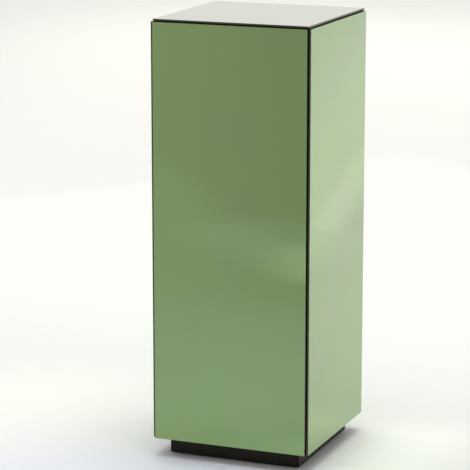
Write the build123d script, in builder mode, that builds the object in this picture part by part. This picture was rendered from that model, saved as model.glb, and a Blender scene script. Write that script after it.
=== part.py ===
from build123d import *
import os

os.makedirs("parts", exist_ok=True)

# A tall square display pedestal: a black board carcass on a recessed plinth and four
# levelling feet, clad in tinted mirror panes. Sizes are in millimetres. The front faces
# -Y, and the origin is on the floor under the middle, with the feet screwed fully in.

# Overall size, over the panes and down to the floor
width = 300
depth = 300
height = 800

# Mirror panes, and the double-sided tape that holds them
pane_thickness = 3
pane_arris = 0.4  # ground off every edge
pane_reveal = 1  # black board left showing past the edge of each upright pane
top_reveal = 0  # the top pane runs out over the whole top board
tape_thickness = 1
tape_width = 19
tape_setback = 2  # from a pane's edge
tape_count = 4  # strips behind each pane

# Carcass
board_thickness = 12
board_round = 0.5  # on the board corners that show between the panes
batten_size = 20
batten_play = 0.5  # round a batten in the brace's notch

# Plinth
plinth_setback = 25  # from the outer face of the panes
plinth_top = 33
rail_thickness = 12
block_size = 40

# Countersunk wood screws, all of one size
screw_length = 30
screw_radius = 1.75
screw_head_radius = 3.75
screw_tip = 5
screw_key_radius = 1.5  # across the corners of the drive
screw_key_depth = 1.5
screw_fit = 0.05  # radial
screw_overrun = 1  # of a pilot hole past the screw's tip
screw_rows = 4  # up each batten
screw_stagger = 25  # between the screws that reach a batten from its two walls
plinth_screw_near = 24  # from the plinth's two outer faces at a corner
plinth_screw_far = 40

# Levelling feet: a nylon pad, free to turn on the head of an M6 stem
foot_inset = 20  # from the plinth's outer faces to a foot's axis
pad_radius = 9
pad_height = 3
pad_chamfer = 0.5
pad_floor = 1.2  # under the stem's head
pad_lip = 0.4  # thickness of the lip that keeps the head in
pad_grip = 0.2  # reach of the lip over the head
pad_hole_radius = 2.2  # lets the key through
stem_radius = 3
stem_head_radius = 5.5
stem_reach = 20  # above the pad
stem_chamfer = 0.6
stem_key_radius = 1.7
stem_key_depth = 3
head_play = 0.05  # under the lip
insert_radius = 4.5
insert_length = 12
insert_fit = 0.05  # radial, in the block
running_fit = 0.1  # radial, stem in insert and head in pad
bore_room = 0.5  # radial, round the stem above the insert

# Sizes and levels that follow
cladding = pane_thickness + tape_thickness
carcass_width = width - 2 * cladding
carcass_depth = depth - 2 * cladding
carcass_top = height - cladding
inner_width = carcass_width - 2 * board_thickness
inner_depth = carcass_depth - 2 * board_thickness
wall_top = carcass_top - board_thickness
base_top = plinth_top + board_thickness
base_middle = plinth_top + board_thickness / 2
brace_middle = (base_top + wall_top) / 2
batten_x = (inner_width - batten_size) / 2
batten_y = (inner_depth - batten_size) / 2
plinth_width = width - 2 * plinth_setback
plinth_depth = depth - 2 * plinth_setback

top_face = Plane.XY.offset(carcass_top)
base_face = Plane.XY.offset(base_top)

# Each wall: a plane on its outer face with Z up, the carcass's size along it, the
# plinth's, and whether the wall covers the ends of the two beside it
walls = {
    "front": (
        Plane((0, -carcass_depth / 2, 0), x_dir=(1, 0, 0), z_dir=(0, -1, 0)),
        carcass_width,
        plinth_width,
        True,
    ),
    "back": (
        Plane((0, carcass_depth / 2, 0), x_dir=(-1, 0, 0), z_dir=(0, 1, 0)),
        carcass_width,
        plinth_width,
        True,
    ),
    "left": (
        Plane((-carcass_width / 2, 0, 0), x_dir=(0, -1, 0), z_dir=(-1, 0, 0)),
        carcass_depth,
        plinth_depth,
        False,
    ),
    "right": (
        Plane((carcass_width / 2, 0, 0), x_dir=(0, 1, 0), z_dir=(1, 0, 0)),
        carcass_depth,
        plinth_depth,
        False,
    ),
}
corners = {
    "front_left": (-1, -1),
    "front_right": (1, -1),
    "back_left": (-1, 1),
    "back_right": (1, 1),
}


# Where the screws stand, on the plane that they are driven in from
def batten_screws(side):
    """Up the two battens behind a wall, staggered from the next wall's."""
    _, span, _, wraps = walls[side]
    x = (span - 2 * board_thickness - batten_size) / 2
    pitch = (wall_top - base_top) / screw_rows
    shift = -screw_stagger / 2 if wraps else screw_stagger / 2
    rows = [base_top + pitch * (row + 0.5) + shift for row in range(screw_rows)]
    return [(way * x, z) for z in rows for way in (-1, 1)]


def edge_screws(side, level):
    """Two, into the edge of a board that lies level behind a wall."""
    span = walls[side][1]
    return [(-span / 4, level), (span / 4, level)]


def wall_screws(side):
    level_boards = edge_screws(side, base_middle) + edge_screws(side, brace_middle)
    return batten_screws(side) + level_boards


def top_screws():
    """Into the battens' ends and the walls' top edges."""
    x = (carcass_width - board_thickness) / 2
    y = (carcass_depth - board_thickness) / 2
    ends = [(way_x * batten_x, way_y * batten_y) for way_x, way_y in corners.values()]
    return ends + [(x, 0), (-x, 0), (0, y), (0, -y)]


def base_screws():
    """Two into each plinth block."""
    insets = [
        (plinth_screw_near, plinth_screw_far),
        (plinth_screw_far, plinth_screw_near),
    ]
    return [
        (way_x * (plinth_width / 2 - in_x), way_y * (plinth_depth / 2 - in_y))
        for way_x, way_y in corners.values()
        for in_x, in_y in insets
    ]


def pilot_holes(plane, spots):
    """Cut the holes that screws driven in from a plane need, in the part being made."""
    with BuildSketch(plane) as holes:
        with Locations(*spots):
            Circle(screw_radius + screw_fit)
    extrude(holes.sketch, amount=-(screw_length + screw_overrun), mode=Mode.SUBTRACT)


def countersinks(spots):
    """Cut clear through, for screws whose heads end flush with the part's own plane."""
    with Locations(*spots):
        CounterSinkHole(
            radius=screw_radius + screw_fit,
            counter_sink_radius=screw_head_radius + screw_fit,
            depth=board_thickness,
        )


# Mirror panes, each with its upright strips of tape
def make_pane(side, plane, across, low, high):
    with BuildPart() as pane:
        with BuildSketch(plane.offset(tape_thickness)):
            with Locations((0, (low + high) / 2)):
                Rectangle(across, high - low)
        extrude(amount=pane_thickness)
        chamfer(pane.edges(), pane_arris)
    pane.part.label = f"mirror_{side}"
    export_step(pane.part, f"parts/mirror_{side}.step")


def make_tape(side, plane, across, low, high):
    run = across - 2 * tape_setback - tape_width
    with BuildPart() as tape:
        with BuildSketch(plane):
            with Locations((0, (low + high) / 2)):
                with GridLocations(run / (tape_count - 1), 0, tape_count, 1):
                    Rectangle(tape_width, high - low - 2 * tape_setback)
        extrude(amount=tape_thickness)
    tape.part.label = f"tape_{side}"
    export_step(tape.part, f"parts/tape_{side}.step")


for side, (plane, span, _, _) in walls.items():
    across = span - 2 * pane_reveal
    low = plinth_top + pane_reveal
    high = carcass_top - pane_reveal
    make_pane(side, plane, across, low, high)
    make_tape(side, plane, across, low, high)

top_across = carcass_width - 2 * top_reveal
top_reach = carcass_depth / 2 - top_reveal
make_pane("top", top_face, top_across, -top_reach, top_reach)
make_tape("top", top_face, top_across, -top_reach, top_reach)

# Walls
for side, (plane, span, _, wraps) in walls.items():
    with BuildPart(plane) as wall:
        with BuildSketch(plane):
            with Locations((0, (plinth_top + wall_top) / 2)):
                Rectangle(
                    span if wraps else span - 2 * board_thickness, wall_top - plinth_top
                )
        extrude(amount=-board_thickness)
        if wraps:
            outward = Axis((0, 0, 0), plane.z_dir)
            uprights = wall.edges().filter_by(Axis.Z)
            fillet(uprights.group_by(outward)[-1], board_round)
        countersinks(wall_screws(side))
        pilot_holes(top_face, top_screws())
    wall.part.label = f"board_{side}"
    export_step(wall.part, f"parts/board_{side}.step")

# Level boards: the top covers the walls, the base and the brace fit between them
with BuildPart(top_face) as top:
    with BuildSketch(top_face):
        Rectangle(carcass_width, carcass_depth)
    extrude(amount=-board_thickness)
    upper_edges = top.faces().sort_by(Axis.Z)[-1].edges()
    fillet(upper_edges + top.edges().filter_by(Axis.Z), board_round)
    countersinks(top_screws())
top.part.label = "board_top"
export_step(top.part, "parts/board_top.step")

with BuildPart(base_face) as base:
    with BuildSketch(base_face):
        Rectangle(inner_width, inner_depth)
    extrude(amount=-board_thickness)
    countersinks(base_screws())
    for side, (plane, _, _, _) in walls.items():
        pilot_holes(plane, edge_screws(side, base_middle))
base.part.label = "board_base"
export_step(base.part, "parts/board_base.step")

with BuildPart() as brace:
    notch = batten_size + batten_play
    with BuildSketch(Plane.XY.offset(brace_middle)):
        Rectangle(inner_width, inner_depth)
        with GridLocations(inner_width - notch, inner_depth - notch, 2, 2):
            Rectangle(notch, notch, mode=Mode.SUBTRACT)
    extrude(amount=board_thickness / 2, both=True)
    for side, (plane, _, _, _) in walls.items():
        pilot_holes(plane, edge_screws(side, brace_middle))
brace.part.label = "board_brace"
export_step(brace.part, "parts/board_brace.step")

# Battens up the inside corners
for corner, (way_x, way_y) in corners.items():
    with BuildPart() as batten:
        with BuildSketch(base_face):
            with Locations((way_x * batten_x, way_y * batten_y)):
                Rectangle(batten_size, batten_size)
        extrude(amount=wall_top - base_top)
        for side in corner.split("_"):
            pilot_holes(walls[side][0], batten_screws(side))
        pilot_holes(top_face, top_screws())
    batten.part.label = f"batten_{corner}"
    export_step(batten.part, f"parts/batten_{corner}.step")

# Plinth rails, with the front and back ones covering the ends of the others
for side, (plane, _, span, wraps) in walls.items():
    inward = plinth_setback - cladding
    with BuildPart() as rail:
        with BuildSketch(plane.offset(-inward)):
            with Locations((0, (pad_height + plinth_top) / 2)):
                Rectangle(
                    span if wraps else span - 2 * rail_thickness, plinth_top - pad_height
                )
        extrude(amount=-rail_thickness)
    rail.part.label = f"plinth_{side}"
    export_step(rail.part, f"parts/plinth_{side}.step")

# At each corner of the plinth, a block with a threaded insert and a levelling foot
block_x = plinth_width / 2 - rail_thickness - block_size / 2
block_y = plinth_depth / 2 - rail_thickness - block_size / 2
foot_x = plinth_width / 2 - foot_inset
foot_y = plinth_depth / 2 - foot_inset
lip_radius = stem_head_radius - pad_grip
recess_radius = stem_head_radius + running_fit
lip_bottom = pad_height - pad_lip
head_top = lip_bottom - head_play
stem_top = pad_height + stem_reach

for corner, (way_x, way_y) in corners.items():
    x = way_x * foot_x
    y = way_y * foot_y
    foot_axis = Axis((x, y, 0), (0, 0, 1))
    upright = Plane((x, y, 0), x_dir=(1, 0, 0), z_dir=(0, -1, 0))
    underside = Plane((x, y, pad_height))

    with BuildPart() as block:
        with BuildSketch(Plane.XY.offset(pad_height)):
            with Locations((way_x * block_x, way_y * block_y)):
                Rectangle(block_size, block_size)
        extrude(amount=plinth_top - pad_height)
        with BuildSketch(underside):
            Circle(insert_radius + insert_fit)
        extrude(amount=insert_length, mode=Mode.SUBTRACT)
        with BuildSketch(underside):
            Circle(stem_radius + bore_room)
        extrude(amount=plinth_top - pad_height, mode=Mode.SUBTRACT)
        pilot_holes(base_face, base_screws())
    block.part.label = f"block_{corner}"
    export_step(block.part, f"parts/block_{corner}.step")

    with BuildPart() as insert:
        with BuildSketch(underside):
            Circle(insert_radius)
            Circle(stem_radius + running_fit, mode=Mode.SUBTRACT)
        extrude(amount=insert_length)
    insert.part.label = f"insert_{corner}"
    export_step(insert.part, f"parts/insert_{corner}.step")

    with BuildPart() as pad:
        with BuildSketch(upright):
            with BuildLine():
                Polyline(
                    (pad_hole_radius, 0),
                    (pad_radius, 0),
                    (pad_radius, pad_height),
                    (lip_radius, pad_height),
                    (lip_radius, lip_bottom),
                    (recess_radius, lip_bottom),
                    (recess_radius, pad_floor),
                    (pad_hole_radius, pad_floor),
                    close=True,
                )
            make_face()
        revolve(axis=foot_axis)
        rims = pad.edges().filter_by(GeomType.CIRCLE).sort_by(SortBy.RADIUS)[-2:]
        chamfer(rims, pad_chamfer)
    pad.part.label = f"foot_pad_{corner}"
    export_step(pad.part, f"parts/foot_pad_{corner}.step")

    with BuildPart() as stem:
        with BuildSketch(upright):
            with BuildLine():
                Polyline(
                    (0, pad_floor),
                    (stem_head_radius, pad_floor),
                    (stem_head_radius, head_top),
                    (stem_radius, head_top),
                    (stem_radius, stem_top - stem_chamfer),
                    (stem_radius - stem_chamfer, stem_top),
                    (0, stem_top),
                    close=True,
                )
            make_face()
        revolve(axis=foot_axis)
        with BuildSketch(Plane((x, y, pad_floor))):
            RegularPolygon(stem_key_radius, 6)
        extrude(amount=stem_key_depth, mode=Mode.SUBTRACT)
    stem.part.label = f"foot_stem_{corner}"
    export_step(stem.part, f"parts/foot_stem_{corner}.step")

# One screw, and the groups of it that hold each board
with BuildPart() as screw:
    with BuildSketch(Plane.XZ):
        with BuildLine():
            Polyline(
                (0, 0),
                (screw_head_radius, 0),
                (screw_radius, screw_radius - screw_head_radius),
                (screw_radius, screw_tip - screw_length),
                (0, -screw_length),
                close=True,
            )
        make_face()
    revolve(axis=Axis.Z)
    with BuildSketch():
        RegularPolygon(screw_key_radius, 6)
    extrude(amount=-screw_key_depth, mode=Mode.SUBTRACT)

screw_groups = {side: (walls[side][0], wall_screws(side)) for side in walls}
screw_groups["top"] = (top_face, top_screws())
screw_groups["base"] = (base_face, base_screws())

for name, (plane, spots) in screw_groups.items():
    with BuildPart(plane) as screws:
        with Locations(*spots):
            add(screw.part)
    screws.part.label = f"screws_{name}"
    export_step(screws.part, f"parts/screws_{name}.step")
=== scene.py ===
import math

import bmesh
import bpy
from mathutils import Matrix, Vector


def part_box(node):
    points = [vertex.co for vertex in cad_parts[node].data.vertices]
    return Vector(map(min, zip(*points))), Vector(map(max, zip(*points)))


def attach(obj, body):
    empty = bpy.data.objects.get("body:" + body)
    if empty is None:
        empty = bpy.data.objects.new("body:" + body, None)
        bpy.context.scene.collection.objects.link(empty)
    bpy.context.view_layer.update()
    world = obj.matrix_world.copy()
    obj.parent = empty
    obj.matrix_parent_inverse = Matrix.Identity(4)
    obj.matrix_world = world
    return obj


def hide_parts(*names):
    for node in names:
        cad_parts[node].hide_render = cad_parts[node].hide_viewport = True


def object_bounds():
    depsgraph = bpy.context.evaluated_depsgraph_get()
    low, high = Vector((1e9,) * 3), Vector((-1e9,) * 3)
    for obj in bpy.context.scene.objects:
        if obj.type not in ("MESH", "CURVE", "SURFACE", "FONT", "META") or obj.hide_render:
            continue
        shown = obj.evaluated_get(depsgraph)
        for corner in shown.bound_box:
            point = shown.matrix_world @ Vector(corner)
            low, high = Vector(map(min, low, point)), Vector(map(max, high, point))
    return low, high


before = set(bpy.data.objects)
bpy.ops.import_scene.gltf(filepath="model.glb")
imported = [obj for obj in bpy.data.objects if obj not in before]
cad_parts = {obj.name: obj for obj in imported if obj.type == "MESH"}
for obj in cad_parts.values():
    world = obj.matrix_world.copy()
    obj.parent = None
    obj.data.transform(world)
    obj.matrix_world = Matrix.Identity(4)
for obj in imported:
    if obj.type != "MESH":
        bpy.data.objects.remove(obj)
cadLow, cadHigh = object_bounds()
scene = bpy.context.scene
millimetre = 0.001
pedestalBody = "pedestal"
corners = ["front_left", "front_right", "back_left", "back_right"]
outward = {
    "front": Vector((0, -1, 0)),
    "back": Vector((0, 1, 0)),
    "left": Vector((-1, 0, 0)),
    "right": Vector((1, 0, 0)),
    "top": Vector((0, 0, 1)),
}


# the camera stands to the right of the front and a little above the top
cameraView = {
    "place": (1.4837, -3.7784, 1.291),
    "turn": 22.08,  # degrees round to the right of straight on
    "tilt": 12.46,  # degrees down
    "lens": 174.5,
    "sensor": 36,
}


def makeCamera(view):
    data = bpy.data.cameras.new("camera")
    data.lens = view["lens"]
    data.sensor_width = view["sensor"]
    camera = bpy.data.objects.new("camera", data)
    camera.location = view["place"]
    camera.rotation_euler = (math.radians(90 - view["tilt"]), 0, math.radians(view["turn"]))
    scene.collection.objects.link(camera)
    scene.camera = camera


makeCamera(cameraView)
scene.view_settings.view_transform = "Standard"
print("camera placed")


# small helpers for building materials; a texture is a scale, a detail and perhaps a distortion,
# a span is the stretch of it that counts, and a relief is a bump's strength and its distance
def newMaterial(name):
    material = bpy.data.materials.new(name)
    material.use_nodes = True
    tree = material.node_tree
    return material, tree.nodes, tree.links, tree.nodes["Principled BSDF"]


def setInputs(node, values):
    for name, value in values.items():
        node.inputs[name].default_value = value


def objectPlace(nodes, links, scale=(1, 1, 1)):
    coords = nodes.new("ShaderNodeTexCoord")
    mapping = nodes.new("ShaderNodeMapping")
    mapping.inputs["Scale"].default_value = scale
    links.new(coords.outputs["Object"], mapping.inputs["Vector"])
    return mapping.outputs["Vector"]


def noise(nodes, links, place, texture):
    scale, detail, distortion = (*texture, 0)[:3]
    node = nodes.new("ShaderNodeTexNoise")
    setInputs(node, {"Scale": scale, "Detail": detail, "Distortion": distortion})
    links.new(place, node.inputs["Vector"])
    return node.outputs["Fac"]


def remap(nodes, links, value, fromRange, toRange):
    node = nodes.new("ShaderNodeMapRange")
    setInputs(node, {"From Min": fromRange[0], "From Max": fromRange[1]})
    setInputs(node, {"To Min": toRange[0], "To Max": toRange[1]})
    links.new(value, node.inputs["Value"])
    return node.outputs["Result"]


def mixColours(nodes, links, factor, first, second):
    node = nodes.new("ShaderNodeMix")
    node.data_type = "RGBA"
    links.new(factor, node.inputs[0])
    colourSockets = node.inputs[6], node.inputs[7]  # A and B of the colour kind
    for socket, colour in zip(colourSockets, (first, second)):
        if isinstance(colour, tuple):
            socket.default_value = (*colour, 1)
        else:
            links.new(colour, socket)
    return node.outputs[2]


def bump(nodes, links, shader, height, relief):
    strength, distance = relief
    node = nodes.new("ShaderNodeBump")
    setInputs(node, {"Strength": strength, "Distance": distance})
    links.new(height, node.inputs["Height"])
    links.new(node.outputs["Normal"], shader.inputs["Normal"])


def readAttribute(nodes, name):
    node = nodes.new("ShaderNodeAttribute")
    node.attribute_name = name
    return node.outputs["Fac"]


def shade(colour, share):
    return tuple(part * share for part in colour)


middling = (0.3, 0.7)  # the span that most of a noise's values fall in


# studio: a pale floor, a soft surround that is brighter behind, and gridded softboxes overhead
studio = {
    "floorSize": 60,
    "floorColour": (0.8, 0.8, 0.79),
    "floorMottle": 0.985,  # how dark the floor's darker patches are
    "floorGrain": (40, 4),
    "floorRoughness": 0.6,
    "floorGloss": 0.2,
    "surroundFront": (0.665, 0.67, 0.67),
    "surroundBack": (0.93, 0.912, 0.907),
    "surroundTurn": (-0.2, 0.95),  # where along Y the front tone ends and the back one begins
    "softboxes": {  # middle, width and length, turn and beam in degrees, brightness on the floor
        "frontLeft": ((-1.32, -0.38, 1.6), (6.0, 3.0), 51.7, 9, (0.05, 0.07, 0.06)),
        "glowFront": ((-0.39, -1.72, 1.2), (0.2, 0.38), -22, 10, (0.27, 0.28, 0.42)),
        "hazeFront": ((-0.6, -1.9, 1.2), (0.5, 0.3), 45, 14, (0.06, 0.075, 0.19)),
        "bandRight": ((0.95, 2.4, 1.2), (0.09, 1.3), -12.5, 5, (0.18, 0.175, 0.17)),
        "floorLeft": ((-0.52, -0.02, 1.2), (0.44, 0.6), 0, 24, (0.14, 0.12, 0.1)),
        "frontCool": ((-0.28, -0.72, 1.2), (0.7, 1.0), -22, 24, (0.03, 0.04, 0.16)),
        "farLeft": ((-2.44, -3.47, 2.0), (2.0, 6.0), -22.3, 18, (0.09, 0.085, 0.09)),
        "base": ((0.0, 0.0, 2.4), (2.4, 2.4), 0, 70, (0.05, 0.06, 0.055)),
        "plinthFront": ((-0.1, -0.5, 1.9), (1.0, 0.6), 22, 50, (0.16, 0.14, 0.2)),
        "hemFront": ((0.09, -0.26, 1.2), (0.34, 0.16), 0, 12, (0.15, 0.18, 0.27)),
        "hemRight": ((0.27, -0.04, 1.2), (0.18, 0.5), 0, 12, (0.17, 0.18, 0.13)),
        "backRight": ((2.30, 4.2, 2.0), (2.0, 6.0), -10.7, 14, (0.28, 0.3, 0.31)),
        "backLeft": ((-0.8, 3.0, 2.6), (5.0, 6.0), 0, 70, (0.37, 0.365, 0.325)),
        "farBack": ((-1.5, 7.0, 3.0), (8.0, 4.0), 0, 100, (0.27, 0.28, 0.23)),
    },
}


def makeSurround(values):
    world = bpy.data.worlds.new("surround")
    scene.world = world
    world.use_nodes = True
    nodes = world.node_tree.nodes
    links = world.node_tree.links
    coords = nodes.new("ShaderNodeTexCoord")
    split = nodes.new("ShaderNodeSeparateXYZ")
    links.new(coords.outputs["Generated"], split.inputs["Vector"])
    behind = remap(nodes, links, split.outputs["Y"], values["surroundTurn"], (0, 1))
    tone = mixColours(nodes, links, behind, values["surroundFront"], values["surroundBack"])
    links.new(tone, nodes["Background"].inputs["Color"])


def makeSoftboxes(values):
    albedo = values["floorColour"][0]
    for name, (middle, size, turn, beam, brightness) in values["softboxes"].items():
        width, length = size
        brightest = max(brightness)
        light = bpy.data.lights.new(f"softbox_{name}", "AREA")
        light.shape = "RECTANGLE"
        light.size, light.size_y = size
        light.spread = math.radians(beam)
        light.color = shade(brightness, 1 / brightest)
        light.energy = brightest * width * length * math.pi / albedo
        box = bpy.data.objects.new(light.name, light)
        box.location = middle
        box.rotation_euler.z = math.radians(turn)
        scene.collection.objects.link(box)


def makeFloor(values):
    bpy.ops.mesh.primitive_plane_add(size=values["floorSize"], location=(0, 0, cadLow.z))
    floor = bpy.context.object
    floor.name = "floor"
    material, nodes, links, shader = newMaterial("floorPaint")
    setInputs(shader, {"Roughness": values["floorRoughness"]})
    setInputs(shader, {"Specular IOR Level": values["floorGloss"]})
    grain = noise(nodes, links, objectPlace(nodes, links), values["floorGrain"])
    tone = values["floorColour"]
    colour = mixColours(nodes, links, grain, tone, shade(tone, values["floorMottle"]))
    links.new(colour, shader.inputs["Base Color"])
    floor.data.materials.append(material)


makeSurround(studio)
makeSoftboxes(studio)
makeFloor(studio)
print("studio lit")


# tinted mirror: bright metal under clear glass, a shade darker where the silver stops at the rim
mirrorFinish = {
    "tint": (0.239, 0.368, 0.127),
    "grazingTint": (0.84, 0.88, 0.8),
    "rimTint": (0.05, 0.075, 0.03),
    "glassIor": 1.52,
    "glassRoughness": 0.01,
    "cloud": (3.5, 3),
    "cloudShade": 0.97,
    "streaks": (1.6, 5, 0.6),
    "streakStretch": (9, 9, 2),
    "streakSpan": (0.45, 0.7),
    "clean": 0.012,
    "wiped": 0.035,  # roughness where a cloth has left a film
    "wave": (2.2, 1),
    "waveRelief": (0.03, 0.02),  # unevenness of the rolled glass
}


def mirrorMaterial(finish):
    material, nodes, links, shader = newMaterial("tintedMirror")
    setInputs(shader, {"Metallic": 1, "Coat Weight": 1, "Coat IOR": finish["glassIor"]})
    setInputs(shader, {"Coat Roughness": finish["glassRoughness"]})
    setInputs(shader, {"Specular Tint": (*finish["grazingTint"], 1)})
    place = objectPlace(nodes, links)
    cloud = noise(nodes, links, place, finish["cloud"])
    tint = finish["tint"]
    even = mixColours(nodes, links, cloud, tint, shade(tint, finish["cloudShade"]))
    rim = readAttribute(nodes, "rim")
    links.new(mixColours(nodes, links, rim, even, finish["rimTint"]), shader.inputs["Base Color"])
    stretched = objectPlace(nodes, links, finish["streakStretch"])
    streaks = noise(nodes, links, stretched, finish["streaks"])
    film = remap(nodes, links, streaks, finish["streakSpan"], (finish["clean"], finish["wiped"]))
    links.new(film, shader.inputs["Roughness"])
    wave = noise(nodes, links, place, finish["wave"])
    bump(nodes, links, shader, wave, finish["waveRelief"])
    return material


# the panes' ground edges, dark with sealer; the bevels on the top pane and along each pane's top
# use this too, as painted shade
groundEdgeFinish = {
    "dark": (0.009, 0.008, 0.004),
    "light": (0.024, 0.021, 0.011),
    "shine": (1, 0.88, 0.66),
    "gloss": 0.95,
    "roughness": (0.1, 0.22),
    "fine": (900, 3),
    "coarse": (120, 3),
    "relief": (0.06, 0.0001),
}


def groundEdgeMaterial(finish):
    material, nodes, links, shader = newMaterial("groundEdge")
    setInputs(shader, {"Specular IOR Level": finish["gloss"]})
    setInputs(shader, {"Specular Tint": (*finish["shine"], 1)})
    fine = noise(nodes, links, objectPlace(nodes, links), finish["fine"])
    colour = mixColours(nodes, links, fine, finish["dark"], finish["light"])
    links.new(colour, shader.inputs["Base Color"])
    coarse = noise(nodes, links, objectPlace(nodes, links), finish["coarse"])
    rough = remap(nodes, links, coarse, middling, finish["roughness"])
    links.new(rough, shader.inputs["Roughness"])
    bump(nodes, links, shader, fine, finish["relief"])
    return material


# the narrow ground bevel round each face, coloured pale green as a painted highlight where it
# catches the light
arrisHighlightFinish = {
    "dark": (0.1, 0.13, 0.08),
    "light": (0.22, 0.27, 0.18),
    "roughness": (0.25, 0.45),
    "fine": (1400, 3),
    "relief": (0.1, 0.0001),
}


def arrisHighlightMaterial(finish):
    material, nodes, links, shader = newMaterial("groundArrisPaintedHighlight")
    fine = noise(nodes, links, objectPlace(nodes, links), finish["fine"])
    colour = mixColours(nodes, links, fine, finish["dark"], finish["light"])
    links.new(colour, shader.inputs["Base Color"])
    rough = remap(nodes, links, fine, middling, finish["roughness"])
    links.new(rough, shader.inputs["Roughness"])
    bump(nodes, links, shader, fine, finish["relief"])
    return material


# the protective paint on the back of the silver
backPaintFinish = {
    "colour": (0.11, 0.095, 0.08),
    "roughness": 0.55,
    "mottle": (60, 4),
    "mottleShade": 0.8,
    "relief": (0.1, 0.0003),
}


def backPaintMaterial(finish):
    material, nodes, links, shader = newMaterial("backPaint")
    shader.inputs["Roughness"].default_value = finish["roughness"]
    mottle = noise(nodes, links, objectPlace(nodes, links), finish["mottle"])
    darker = shade(finish["colour"], finish["mottleShade"])
    colour = mixColours(nodes, links, mottle, finish["colour"], darker)
    links.new(colour, shader.inputs["Base Color"])
    bump(nodes, links, shader, mottle, finish["relief"])
    return material


# black lacquer over board, with faint orange peel and a little dust
lacquerFinish = {
    "colour": (0.0025, 0.002, 0.001),
    "dust": (0.03, 0.027, 0.02),
    "dustShare": 0.08,
    "shine": (1, 0.9, 0.7),
    "gloss": 0.24,
    "roughness": (0.22, 0.34),
    "specks": (240, 5),
    "speckSpan": (0.55, 0.8),
    "uneven": (25, 3),
    "peel": (420, 1),
    "relief": (0.12, 0.0003),
}


def lacquerMaterial(finish):
    material, nodes, links, shader = newMaterial("blackLacquer")
    setInputs(shader, {"Specular IOR Level": finish["gloss"]})
    setInputs(shader, {"Specular Tint": (*finish["shine"], 1)})
    place = objectPlace(nodes, links)
    speckled = noise(nodes, links, place, finish["specks"])
    specks = remap(nodes, links, speckled, finish["speckSpan"], (0, finish["dustShare"]))
    colour = mixColours(nodes, links, specks, finish["colour"], finish["dust"])
    links.new(colour, shader.inputs["Base Color"])
    uneven = noise(nodes, links, place, finish["uneven"])
    rough = remap(nodes, links, uneven, middling, finish["roughness"])
    links.new(rough, shader.inputs["Roughness"])
    bump(nodes, links, shader, noise(nodes, links, place, finish["peel"]), finish["relief"])
    return material


# unpainted fibreboard, for the brace that nobody sees
fibreFinish = {
    "colour": (0.36, 0.25, 0.15),
    "dark": (0.2, 0.13, 0.075),
    "roughness": 0.85,
    "fibres": (500, 6, 1.5),
    "fibreSpan": (0.4, 0.75),
    "darkShare": 0.8,
    "stretch": (1, 1, 4),
    "relief": (0.3, 0.0004),
}


def fibreMaterial(finish):
    material, nodes, links, shader = newMaterial("rawFibreboard")
    shader.inputs["Roughness"].default_value = finish["roughness"]
    place = objectPlace(nodes, links, finish["stretch"])
    fibres = noise(nodes, links, place, finish["fibres"])
    spots = remap(nodes, links, fibres, finish["fibreSpan"], (0, finish["darkShare"]))
    colour = mixColours(nodes, links, spots, finish["colour"], finish["dark"])
    links.new(colour, shader.inputs["Base Color"])
    bump(nodes, links, shader, fibres, finish["relief"])
    return material


# planed softwood: growth rings stretched along the length of the stick
softwoodFinish = {
    "early": (0.62, 0.44, 0.25),
    "late": (0.42, 0.25, 0.115),
    "roughness": 0.6,
    "stretch": 0.04,
    "rings": {"Scale": 55, "Distortion": 7, "Detail": 3, "Detail Scale": 1.2},
    "ringSpan": (0.35, 1),
    "ringShare": 0.8,
    "pores": (1100, 3),
    "poreSpan": (0.5, 0.8),
    "poreShare": 0.5,
    "relief": (0.25, 0.0003),
}


def softwoodMaterial(finish, name, along):
    material, nodes, links, shader = newMaterial(name)
    shader.inputs["Roughness"].default_value = finish["roughness"]
    squeeze = tuple(finish["stretch"] if axis == along else 1 for axis in "xyz")
    place = objectPlace(nodes, links, squeeze)
    rings = nodes.new("ShaderNodeTexWave")
    rings.bands_direction = "DIAGONAL"
    setInputs(rings, finish["rings"])
    links.new(place, rings.inputs["Vector"])
    pores = noise(nodes, links, place, finish["pores"])
    ringed = rings.outputs["Fac"]
    banded = remap(nodes, links, ringed, finish["ringSpan"], (0, finish["ringShare"]))
    grain = mixColours(nodes, links, banded, finish["early"], finish["late"])
    flecks = remap(nodes, links, pores, finish["poreSpan"], (0, finish["poreShare"]))
    links.new(mixColours(nodes, links, flecks, grain, finish["late"]), shader.inputs["Base Color"])
    bump(nodes, links, shader, pores, finish["relief"])
    return material


# foam mounting tape, with its cells showing at the cut
tapeFinish = {
    "colour": (0.016, 0.016, 0.015),
    "cellLight": 2.2,
    "cellScale": 1800,
    "roughness": 0.9,
    "relief": (0.5, 0.0002),
}


def tapeMaterial(finish):
    material, nodes, links, shader = newMaterial("foamTape")
    shader.inputs["Roughness"].default_value = finish["roughness"]
    cells = nodes.new("ShaderNodeTexVoronoi")
    cells.inputs["Scale"].default_value = finish["cellScale"]
    links.new(objectPlace(nodes, links), cells.inputs["Vector"])
    light = shade(finish["colour"], finish["cellLight"])
    depth = cells.outputs["Distance"]
    colour = mixColours(nodes, links, depth, finish["colour"], light)
    links.new(colour, shader.inputs["Base Color"])
    bump(nodes, links, shader, depth, finish["relief"])
    return material


# plated and turned metal, patchy in colour and finely scratched round its axis
zincFinish = {"bright": (0.62, 0.63, 0.62), "dull": (0.45, 0.46, 0.47), "roughness": (0.22, 0.4)}
brassFinish = {"bright": (0.72, 0.52, 0.24), "dull": (0.52, 0.36, 0.15), "roughness": (0.18, 0.36)}
metalWear = {
    "patches": (260, 4),
    "scratches": (700, 3),
    "scratchStretch": (1, 1, 12),
    "relief": (0.08, 0.0001),
}


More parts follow.
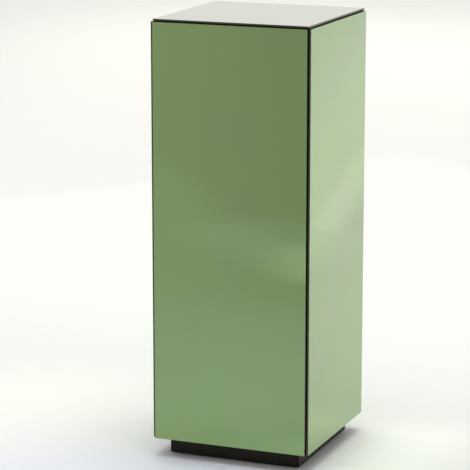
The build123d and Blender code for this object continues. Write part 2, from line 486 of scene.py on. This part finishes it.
def metalMaterial(name, finish, wear):
    material, nodes, links, shader = newMaterial(name)
    shader.inputs["Metallic"].default_value = 1
    patches = noise(nodes, links, objectPlace(nodes, links), wear["patches"])
    colour = mixColours(nodes, links, patches, finish["bright"], finish["dull"])
    links.new(colour, shader.inputs["Base Color"])
    stretched = objectPlace(nodes, links, wear["scratchStretch"])
    scratches = noise(nodes, links, stretched, wear["scratches"])
    rough = remap(nodes, links, scratches, middling, finish["roughness"])
    links.new(rough, shader.inputs["Roughness"])
    bump(nodes, links, shader, scratches, wear["relief"])
    return material


# moulded nylon, scuffed paler where it rubs
nylonFinish = {
    "colour": (0.115, 0.095, 0.078),
    "worn": (0.16, 0.14, 0.12),
    "roughness": 0.45,
    "translucence": 0.05,
    "scuffs": (320, 5),
    "scuffSpan": (0.5, 0.75),
    "grain": (2600, 2),
    "relief": (0.3, 0.0001),
}


def nylonMaterial(finish):
    material, nodes, links, shader = newMaterial("nylon")
    setInputs(shader, {"Roughness": finish["roughness"]})
    setInputs(shader, {"Subsurface Weight": finish["translucence"]})
    place = objectPlace(nodes, links)
    scuffed = noise(nodes, links, place, finish["scuffs"])
    scuffs = remap(nodes, links, scuffed, finish["scuffSpan"], (0, 1))
    colour = mixColours(nodes, links, scuffs, finish["colour"], finish["worn"])
    links.new(colour, shader.inputs["Base Color"])
    bump(nodes, links, shader, noise(nodes, links, place, finish["grain"]), finish["relief"])
    return material


mirror = mirrorMaterial(mirrorFinish)
groundEdge = groundEdgeMaterial(groundEdgeFinish)
arris = arrisHighlightMaterial(arrisHighlightFinish)
backPaint = backPaintMaterial(backPaintFinish)
lacquer = lacquerMaterial(lacquerFinish)
fibre = fibreMaterial(fibreFinish)
uprightPine = softwoodMaterial(softwoodFinish, "battenPine", "z")
levelPine = softwoodMaterial(softwoodFinish, "blockPine", "x")
tape = tapeMaterial(tapeFinish)
zinc = metalMaterial("zincPlate", zincFinish, metalWear)
brass = metalMaterial("turnedBrass", brassFinish, metalWear)
nylon = nylonMaterial(nylonFinish)
print("materials made")


def finishNodes(prefix, material):
    for name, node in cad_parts.items():
        if name.startswith(prefix):
            node.data.materials.clear()
            node.data.materials.append(material)


finishNodes("board_", lacquer)
finishNodes("plinth_", lacquer)
finishNodes("board_brace", fibre)
finishNodes("batten_", uprightPine)
finishNodes("block_", levelPine)
finishNodes("tape_", tape)
print("boards, battens and tape finished")


def addPiece(name, data, body, replaced, materials):
    for material in materials:
        data.materials.append(material)
    piece = bpy.data.objects.new(name, data)
    scene.collection.objects.link(piece)
    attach(piece, body)
    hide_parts(replaced)


# mirror panes, each a sheet with ground edges, bevelled rims and eased corners
paneShape = {
    "arris": 0.3 * millimetre,
    "cornerRadius": 0.7 * millimetre,
    "cornerShare": 0.4,  # how much of an inset the corner's radius gives up
    "cornerSteps": 5,
    "silverEdge": 1.1 * millimetre,  # width of the darker rim
    "rimDarkness": 0.12,
    "fadeStart": (0.6, 0.8),  # shares of its width and darkness where it starts to fade fast
    "paintedShade": 1.5 * millimetre,  # bevels this near a pane's top get the dark edge material as painted shade
}
paneFinishes = (mirror, groundEdge, arris, backPaint)
mirrorSlot, edgeSlot, arrisHighlightSlot, backSlot = range(4)


def roundedLoop(halfAcross, halfUp, radius, steps):
    points = []
    for quarter, (wayX, wayY) in enumerate(((1, 1), (-1, 1), (-1, -1), (1, -1))):
        for step in range(steps + 1):
            angle = math.radians(90 * (quarter + step / steps))
            points.append((
                wayX * (halfAcross - radius) + radius * math.cos(angle),
                wayY * (halfUp - radius) + radius * math.sin(angle),
            ))
    return points


def makePane(side, shape):
    low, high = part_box(f"mirror_{side}")
    normal = outward[side]
    upward = Vector((0, 1, 0)) if side == "top" else Vector((0, 0, 1))
    across = upward.cross(normal)
    centre = (low + high) / 2
    size = high - low
    thickness = abs(size.dot(normal))
    halfAcross = abs(size.dot(across)) / 2
    halfUp = abs(size.dot(upward)) / 2
    rim = shape["arris"]
    dark = shape["rimDarkness"]
    fadeIn, fadeDark = shape["fadeStart"]
    rings = [  # inset, height over the back, darkness, material of the band above
        (rim, 0, dark, arrisHighlightSlot),
        (0, rim, dark, edgeSlot),
        (0, thickness - rim, dark, arrisHighlightSlot),
        (rim, thickness, dark, mirrorSlot),
        (rim + shape["silverEdge"] * fadeIn, thickness, dark * fadeDark, mirrorSlot),
        (rim + shape["silverEdge"], thickness, 0, mirrorSlot),
    ]
    mesh = bmesh.new()
    darkness = mesh.verts.layers.float.new("rim")
    loops = []
    for inset, height, share, _ in rings:
        radius = shape["cornerRadius"] - inset * shape["cornerShare"]
        loop = []
        for x, y in roundedLoop(halfAcross - inset, halfUp - inset, radius, shape["cornerSteps"]):
            place = centre + across * x + upward * y + normal * (height - thickness / 2)
            vertex = mesh.verts.new(place)
            vertex[darkness] = share
            loop.append(vertex)
        loops.append(loop)
    for lower, upper, (_, _, _, bandSlot) in zip(loops, loops[1:], rings):
        for here in range(len(lower)):
            after = (here + 1) % len(lower)
            band = mesh.faces.new((lower[here], lower[after], upper[after], upper[here]))
            # bevels on the top pane and along each pane's top take the dark edge material instead
            # of the pale one: painted shade
            nearTop = (band.calc_center_median() - centre).dot(upward) > halfUp - shape["paintedShade"]
            paintedShade = bandSlot == arrisHighlightSlot and (side == "top" or nearTop)
            band.material_index = edgeSlot if paintedShade else bandSlot
    mesh.faces.new(loops[-1]).material_index = mirrorSlot
    mesh.faces.new(list(reversed(loops[0]))).material_index = backSlot
    bmesh.ops.recalc_face_normals(mesh, faces=mesh.faces)
    data = bpy.data.meshes.new(f"pane_{side}")
    mesh.to_mesh(data)
    mesh.free()
    addPiece(data.name, data, pedestalBody, f"mirror_{side}", paneFinishes)


for side in outward:
    makePane(side, paneShape)
print("mirror panes hung")


# plinth rails with softened edges; a face under this many square metres is shaded smooth
railShape = {"round": 0.8 * millimetre, "roundSteps": 3, "smallFace": 1e-3}


def makeRail(side, shape):
    low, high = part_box(f"plinth_{side}")
    mesh = bmesh.new()
    bmesh.ops.create_cube(mesh, size=1)
    for vertex in mesh.verts:
        for axis in range(3):
            vertex.co[axis] = high[axis] if vertex.co[axis] > 0 else low[axis]
    bmesh.ops.bevel(
        mesh, geom=mesh.edges[:], offset=shape["round"], segments=shape["roundSteps"],
        profile=0.5, affect="EDGES",
    )
    bmesh.ops.recalc_face_normals(mesh, faces=mesh.faces)
    for face in mesh.faces:
        face.smooth = face.calc_area() < shape["smallFace"]
    data = bpy.data.meshes.new(f"rail_{side}")
    mesh.to_mesh(data)
    mesh.free()
    addPiece(data.name, data, pedestalBody, f"plinth_{side}", [lacquer])


for side in ("front", "back", "left", "right"):
    makeRail(side, railShape)
print("plinth rails set")


# a screw as a node tree: head with a hexagon key socket, and a shank with a helical thread
mergeDistance = 5e-6
weldDistance = 1e-6
sharpAngle = math.radians(38)


def addNode(tree, kind, **inputs):
    node = tree.nodes.new(kind)
    for name, value in inputs.items():
        socket = node.inputs[name.replace("_", " ")]
        if isinstance(value, bpy.types.NodeSocket):
            tree.links.new(value, socket)
        else:
            socket.default_value = value
    return node


def doMath(tree, operation, first, second=0.0):
    node = tree.nodes.new("ShaderNodeMath")
    node.operation = operation
    for socket, value in zip(node.inputs, (first, second)):
        if isinstance(value, bpy.types.NodeSocket):
            tree.links.new(value, socket)
        else:
            socket.default_value = value
    return node.outputs[0]


def scaledAcross(tree, factor):
    position = tree.nodes.new("GeometryNodeInputPosition").outputs[0]
    parts = addNode(tree, "ShaderNodeSeparateXYZ", Vector=position)
    x = doMath(tree, "MULTIPLY", parts.outputs["X"], factor)
    y = doMath(tree, "MULTIPLY", parts.outputs["Y"], factor)
    return addNode(tree, "ShaderNodeCombineXYZ", X=x, Y=y, Z=parts.outputs["Z"]).outputs[0]


def screwTree(name, inputs, finish):
    tree = bpy.data.node_groups.new(name, "GeometryNodeTree")
    socketKinds = {int: "NodeSocketInt", float: "NodeSocketFloat", tuple: "NodeSocketVector"}
    tree.interface.new_socket("Geometry", in_out="INPUT", socket_type="NodeSocketGeometry")
    tree.interface.new_socket("Geometry", in_out="OUTPUT", socket_type="NodeSocketGeometry")
    for label, value in inputs.items():
        socket = tree.interface.new_socket(
            label, in_out="INPUT", socket_type=socketKinds[type(value)]
        )
        socket.default_value = value
    given = tree.nodes.new("NodeGroupInput").outputs
    position = tree.nodes.new("GeometryNodeInputPosition").outputs[0]
    parts = addNode(tree, "ShaderNodeSeparateXYZ", Vector=position).outputs
    angle = doMath(tree, "ARCTAN2", parts["Y"], parts["X"])

    # head: a cone or disc, its upper face drawn in to a hexagon and sunk, its lower one
    # drawn in to the shank and left open
    head = addNode(
        tree, "GeometryNodeMeshCone", Vertices=given["Sides"], Radius_Top=given["Head Radius"],
        Radius_Bottom=given["Base Radius"], Depth=given["Head Height"],
    )
    lowered = doMath(tree, "MULTIPLY", given["Head Height"], -1.0)
    drop = addNode(tree, "ShaderNodeCombineXYZ", Z=lowered).outputs[0]
    headPlaced = addNode(
        tree, "GeometryNodeSetPosition", Geometry=head.outputs["Mesh"], Offset=drop
    )
    shoulder = addNode(
        tree, "GeometryNodeExtrudeMesh", Mesh=headPlaced.outputs[0],
        Selection=head.outputs["Bottom"], Offset_Scale=0.0, Individual=False,
    )
    neckShare = doMath(tree, "DIVIDE", given["Root Radius"], given["Base Radius"])
    necked = addNode(
        tree, "GeometryNodeSetPosition", Geometry=shoulder.outputs["Mesh"],
        Selection=shoulder.outputs["Top"], Position=scaledAcross(tree, neckShare),
    )
    opened = addNode(
        tree, "GeometryNodeDeleteGeometry", Geometry=necked.outputs[0],
        Selection=shoulder.outputs["Top"],
    )
    opened.domain = "FACE"
    opened.mode = "ONLY_FACE"
    inner = addNode(
        tree, "GeometryNodeExtrudeMesh", Mesh=opened.outputs[0],
        Selection=head.outputs["Top"], Offset_Scale=0.0, Individual=False,
    )
    sixth = math.pi / 3
    turned = doMath(tree, "FLOORED_MODULO", angle, sixth)
    fromFlat = doMath(tree, "SUBTRACT", turned, sixth / 2)
    hexagon = doMath(tree, "DIVIDE", math.cos(sixth / 2), doMath(tree, "COSINE", fromFlat))
    keyShare = doMath(tree, "DIVIDE", given["Key Radius"], given["Head Radius"])
    drawnIn = doMath(tree, "MULTIPLY", keyShare, hexagon)
    mouth = addNode(
        tree, "GeometryNodeSetPosition", Geometry=inner.outputs["Mesh"],
        Selection=inner.outputs["Top"], Position=scaledAcross(tree, drawnIn),
    )
    inward = doMath(tree, "MULTIPLY", given["Key Depth"], -1.0)
    sink = addNode(
        tree, "GeometryNodeExtrudeMesh", Mesh=mouth.outputs[0], Selection=inner.outputs["Top"],
        Offset_Scale=inward, Individual=False,
    )

    # shank: a tube swollen along a helix, fading out under the head and drawn to a point
    shankLength = doMath(tree, "SUBTRACT", given["Length"], given["Head Height"])
    shank = addNode(
        tree, "GeometryNodeMeshCylinder", Vertices=given["Sides"], Side_Segments=given["Steps"],
        Radius=given["Root Radius"], Depth=shankLength,
    )
    middle = doMath(tree, "ADD", doMath(tree, "MULTIPLY", shankLength, -0.5), lowered)
    shankDrop = addNode(tree, "ShaderNodeCombineXYZ", Z=middle).outputs[0]
    tube = addNode(
        tree, "GeometryNodeDeleteGeometry", Geometry=shank.outputs["Mesh"],
        Selection=shank.outputs["Top"],
    )
    tube.domain = "FACE"
    tube.mode = "ONLY_FACE"
    shankPlaced = addNode(
        tree, "GeometryNodeSetPosition", Geometry=tube.outputs[0], Offset=shankDrop
    )
    turns = doMath(tree, "DIVIDE", parts["Z"], given["Pitch"])
    around = doMath(tree, "DIVIDE", angle, 2 * math.pi)
    phase = doMath(tree, "FRACT", doMath(tree, "SUBTRACT", turns, around))
    fromCrest = doMath(tree, "ABSOLUTE", doMath(tree, "SUBTRACT", phase, 0.5))
    ridge = doMath(tree, "SUBTRACT", 1.0, doMath(tree, "MULTIPLY", fromCrest, 2.0))
    down = doMath(tree, "MULTIPLY", parts["Z"], -1.0)
    fadeIn = addNode(tree, "ShaderNodeMapRange", Value=down)
    tree.links.new(given["Thread Start"], fadeIn.inputs["From Min"])
    tree.links.new(
        doMath(tree, "ADD", given["Thread Start"], given["Pitch"]), fadeIn.inputs["From Max"]
    )
    toEnd = doMath(tree, "SUBTRACT", given["Length"], down)
    taper = addNode(tree, "ShaderNodeMapRange", Value=toEnd)
    tree.links.new(given["Point Length"], taper.inputs["From Max"])
    tree.links.new(given["Point Share"], taper.inputs["To Min"])
    depthShare = doMath(tree, "DIVIDE", given["Thread Depth"], given["Root Radius"])
    fullRidge = doMath(tree, "MULTIPLY", ridge, depthShare)
    threadShare = doMath(tree, "MULTIPLY", fullRidge, fadeIn.outputs[0])
    swollen = doMath(tree, "MULTIPLY", doMath(tree, "ADD", threadShare, 1.0), taper.outputs[0])
    threaded = addNode(
        tree, "GeometryNodeSetPosition", Geometry=shankPlaced.outputs[0],
        Position=scaledAcross(tree, swollen),
    )

    joined = tree.nodes.new("GeometryNodeJoinGeometry")
    tree.links.new(sink.outputs["Mesh"], joined.inputs[0])
    tree.links.new(threaded.outputs[0], joined.inputs[0])
    whole = addNode(
        tree, "GeometryNodeMergeByDistance", Geometry=joined.outputs[0], Distance=mergeDistance
    )
    turn = addNode(tree, "FunctionNodeEulerToRotation", Euler=given["Turn"])
    placed = addNode(
        tree, "GeometryNodeInstanceOnPoints", Points=given["Geometry"],
        Instance=whole.outputs[0], Rotation=turn.outputs[0],
    )
    realized = addNode(tree, "GeometryNodeRealizeInstances", Geometry=placed.outputs[0])
    coated = addNode(tree, "GeometryNodeSetMaterial", Geometry=realized.outputs[0])
    coated.inputs["Material"].default_value = finish
    output = tree.nodes.new("NodeGroupOutput")
    tree.links.new(coated.outputs[0], output.inputs[0])
    return tree


def growScrews(name, tree, points, values):
    seeds = bpy.data.meshes.new(name)
    seeds.from_pydata(points, [], [])
    holder = bpy.data.objects.new(f"{name}_seeds", seeds)
    scene.collection.objects.link(holder)
    modifier = holder.modifiers.new("grow", "NODES")
    modifier.node_group = tree
    for socket in tree.interface.items_tree:
        if socket.in_out == "INPUT" and socket.name in values:
            modifier[socket.identifier] = values[socket.name]
    graph = bpy.context.evaluated_depsgraph_get()
    data = bpy.data.meshes.new_from_object(holder.evaluated_get(graph))
    holder.modifiers.remove(modifier)
    bpy.data.objects.remove(holder)
    data.name = name
    data.materials.clear()
    data.polygons.foreach_set("use_smooth", [True] * len(data.polygons))
    data.set_sharp_from_angle(angle=sharpAngle)
    return data


def solidBoxes(node):
    # the box of each separate solid in a node, from the loose parts of its mesh
    shell = bmesh.new()
    shell.from_mesh(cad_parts[node].data)
    bmesh.ops.remove_doubles(shell, verts=shell.verts, dist=weldDistance)
    seen = set()
    boxes = []
    for first in shell.verts:
        if first in seen:
            continue
        seen.add(first)
        solid = [first]
        for vertex in solid:
            for edge in vertex.link_edges:
                other = edge.other_vert(vertex)
                if other not in seen:
                    seen.add(other)
                    solid.append(other)
        low = Vector([min(vertex.co[axis] for vertex in solid) for axis in range(3)])
        high = Vector([max(vertex.co[axis] for vertex in solid) for axis in range(3)])
        boxes.append((low, high))
    shell.free()
    return boxes


def headPoints(node, facing):
    return [
        (low + high) / 2 + facing * abs((high - low).dot(facing)) / 2
        for low, high in solidBoxes(node)
    ]


def turnTo(facing):
    return tuple(facing.to_track_quat("Z", "Y").to_euler())


woodScrew = {
    "Sides": 12,
    "Steps": 84,
    "Head Radius": 3.75 * millimetre,
    "Base Radius": 1.6 * millimetre,
    "Head Height": 2.1 * millimetre,
    "Key Radius": 1.5 * millimetre,
    "Key Depth": 1.5 * millimetre,
    "Root Radius": 1.25 * millimetre,
    "Thread Depth": 0.5 * millimetre,
    "Pitch": 1.6 * millimetre,
    "Thread Start": 9.0 * millimetre,
    "Point Length": 5.0 * millimetre,
    "Point Share": 0.12,
    "Length": 30.0 * millimetre,
    "Turn": (0.0, 0.0, 0.0),
}
screwDesign = screwTree("screw", woodScrew, zinc)
screwFacings = dict(outward, base=outward["top"])
for side, facing in screwFacings.items():
    node = f"screws_{side}"
    values = dict(woodScrew, Turn=turnTo(facing))
    data = growScrews(f"woodScrews_{side}", screwDesign, headPoints(node, facing), values)
    addPiece(data.name, data, pedestalBody, node, [zinc])
print("wood screws driven")


# levelling feet: the threaded stems turn in the inserts, and the pads swivel on their heads
stemShape = {
    "Sides": 24,
    "Steps": 124,
    "Base Radius": 5.5 * millimetre,
    "Head Radius": 5.5 * millimetre,
    "Head Height": 1.35 * millimetre,
    "Key Radius": 1.7 * millimetre,
    "Key Depth": 3.0 * millimetre,
    "Root Radius": 2.5 * millimetre,
    "Thread Depth": 0.5 * millimetre,
    "Pitch": 1.0 * millimetre,
    "Thread Start": 1.6 * millimetre,
    "Point Length": 0.8 * millimetre,
    "Point Share": 0.8,
}
downward = Vector((0, 0, -1))
for corner in corners:
    node = f"foot_stem_{corner}"
    low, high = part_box(node)
    values = dict(stemShape, Turn=turnTo(downward), Length=high.z - low.z)
    data = growScrews(f"stem_{corner}", screwDesign, headPoints(node, downward), values)
    addPiece(f"threadedStem_{corner}", data, f"stem_{corner}", node, [zinc])
print("stems threaded")


padSharpAngle = math.radians(40)
padShape = {  # millimetres out from the middle and up from the floor
    "around": 120,
    "keyHole": 2.2,
    "keyHoleBevel": 0.25,
    "recess": 5.6,
    "recessFloor": 1.2,
    "lip": 5.3,
    "lipBottom": 2.6,
    "lipBevel": (0.2, 0.1),
    "edge": 0.5,
    "edgeSteps": 4,
    "grooveRadii": (3.6, 4.9, 6.2, 7.5),
    "grooveHalfWidth": 0.35,
    "grooveDepth": 0.3,
    "flutes": 30,
    "fluteDepth": 0.14,
    "fluteReach": 0.3,  # how far in from the rim the flutes cut
}


def padProfile(shape, radius, height):
    hole = shape["keyHole"]
    bevel = shape["keyHoleBevel"]
    edge = shape["edge"]
    lipIn, lipDown = shape["lipBevel"]
    points = [(hole, bevel), (hole + bevel, 0)]
    for middle in shape["grooveRadii"]:
        half = shape["grooveHalfWidth"]
        points += [(middle - half, 0), (middle, shape["grooveDepth"]), (middle + half, 0)]
    rim = radius - edge
    steps = shape["edgeSteps"]
    turns = [math.radians(90 / steps * step) for step in range(steps + 1)]
    points += [(rim + edge * math.sin(turn), edge - edge * math.cos(turn)) for turn in turns]
    points += [
        (rim + edge * math.cos(turn), height - edge + edge * math.sin(turn)) for turn in turns
    ]
    points += [
        (shape["lip"] + lipIn, height),
        (shape["lip"], height - lipDown),
        (shape["lip"], shape["lipBottom"]),
        (shape["recess"], shape["lipBottom"]),
        (shape["recess"], shape["recessFloor"]),
        (hole, shape["recessFloor"]),
    ]
    return points


def makePad(corner, shape):
    node = f"foot_pad_{corner}"
    low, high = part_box(node)
    centre = (low + high) / 2
    radius = (high.x - low.x) / 2 / millimetre
    profile = padProfile(shape, radius, (high.z - low.z) / millimetre)
    mesh = bmesh.new()
    rings = []
    for spoke in range(shape["around"]):
        angle = math.tau * spoke / shape["around"]
        flute = shape["fluteDepth"] * (0.5 - 0.5 * math.cos(shape["flutes"] * angle))
        ring = []
        for out, up in profile:
            reach = out - flute if out > radius - shape["fluteReach"] else out
            place = (reach * math.cos(angle), reach * math.sin(angle), up)
            ring.append(mesh.verts.new(
                Vector((centre.x, centre.y, low.z)) + Vector(place) * millimetre
            ))
        rings.append(ring)
    for spoke, ring in enumerate(rings):
        following = rings[(spoke + 1) % len(rings)]
        for here in range(len(ring)):
            after = (here + 1) % len(ring)
            mesh.faces.new((ring[here], following[here], following[after], ring[after]))
    bmesh.ops.recalc_face_normals(mesh, faces=mesh.faces)
    data = bpy.data.meshes.new(f"pad_{corner}")
    mesh.to_mesh(data)
    mesh.free()
    data.polygons.foreach_set("use_smooth", [True] * len(data.polygons))
    data.set_sharp_from_angle(angle=padSharpAngle)
    addPiece(f"nylonPad_{corner}", data, f"foot_{corner}", node, [nylon])


for corner in corners:
    makePad(corner, padShape)
finishNodes("insert_", brass)
print("feet fitted")
